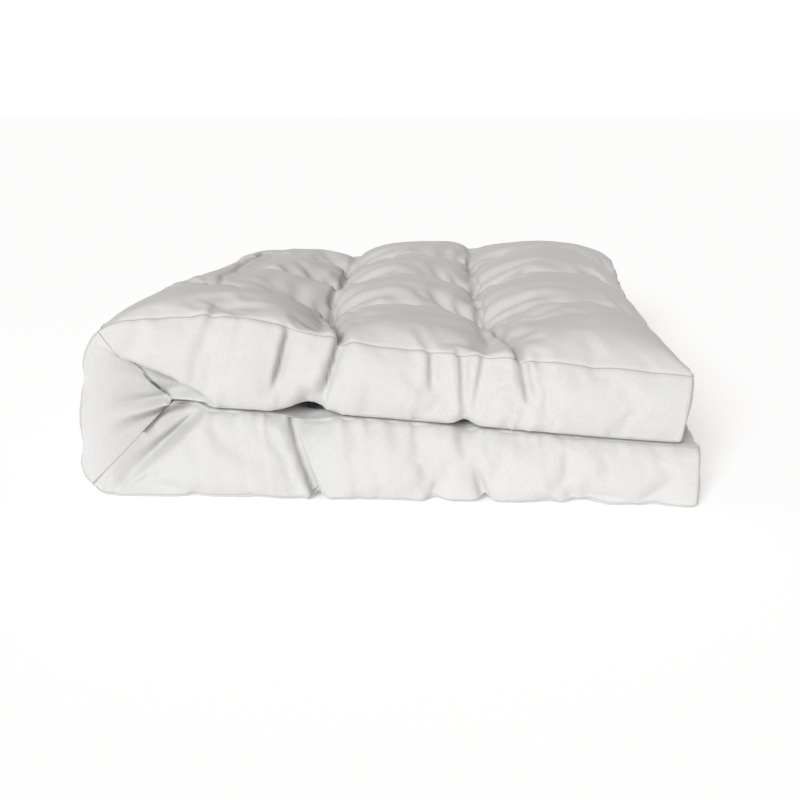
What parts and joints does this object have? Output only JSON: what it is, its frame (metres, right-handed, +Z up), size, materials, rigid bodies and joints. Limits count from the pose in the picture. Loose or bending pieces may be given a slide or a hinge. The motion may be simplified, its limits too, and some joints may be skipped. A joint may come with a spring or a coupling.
{
  "type": "futon mattress",
  "caption": "Tufted all-cotton futon mattress for a single bed, folded once on itself, with plain-seamed borders; whose halves and fold wedge open out flat.",
  "frame": {"origin": "on the floor under the middle of the folded mattress", "axes": "+X from the fold towards the two free ends, +Y along the fold from the front border to the back border, +Z up"},
  "size_m": [0.894, 0.9, 0.2841],
  "materials": {
    "cover": "matte unbleached cotton twill",
    "batting": "matte carded cotton",
    "cord": "matte waxed cotton cord"
  },
  "bodies": {
    "lower_half": {"lower_back_border": "cover", "lower_cotton_layer_1": "batting", "lower_cotton_layer_2": "batting", "lower_cotton_layer_3": "batting", "lower_cotton_layer_4": "batting", "lower_end_border": "cover", "lower_front_border": "cover", "lower_inner_panel": "cover", "lower_outer_panel": "cover", "lower_tuft_tie_row1_1": "cord", "lower_tuft_tie_row1_2": "cord", "lower_tuft_tie_row1_3": "cord", "lower_tuft_tie_row2_1": "cord", "lower_tuft_tie_row2_2": "cord", "lower_tuft_tie_row2_3": "cord", "lower_tuft_tie_row3_1": "cord", "lower_tuft_tie_row3_2": "cord", "lower_tuft_tie_row3_3": "cord"},
    "fold_section": {"fold_back_border": "cover", "fold_cotton_layer_1": "batting", "fold_cotton_layer_2": "batting", "fold_cotton_layer_3": "batting", "fold_front_border": "cover", "fold_inner_panel": "cover", "fold_outer_panel": "cover", "fold_tuft_tie_1": "cord", "fold_tuft_tie_2": "cord", "fold_tuft_tie_3": "cord"},
    "upper_half": {"upper_back_border": "cover", "upper_cotton_layer_1": "batting", "upper_cotton_layer_2": "batting", "upper_cotton_layer_3": "batting", "upper_cotton_layer_4": "batting", "upper_end_border": "cover", "upper_front_border": "cover", "upper_inner_panel": "cover", "upper_outer_panel": "cover", "upper_tuft_tie_row1_1": "cord", "upper_tuft_tie_row1_2": "cord", "upper_tuft_tie_row1_3": "cord", "upper_tuft_tie_row2_1": "cord", "upper_tuft_tie_row2_2": "cord", "upper_tuft_tie_row2_3": "cord", "upper_tuft_tie_row3_1": "cord", "upper_tuft_tie_row3_2": "cord", "upper_tuft_tie_row3_3": "cord"}
  },
  "joints": [
    {"name": "lower_fold", "type": "hinge", "parent": "lower_half", "child": "fold_section", "pos_m": [-0.447, 0, 0], "axis": [0, -1, 0], "range_deg": [0, 92.7]},
    {"name": "upper_fold", "type": "hinge", "parent": "fold_section", "child": "upper_half", "pos_m": [-0.4336, 0, 0.2842], "axis": [0, -1, 0], "range_deg": [0, 92.7]}
  ]
}
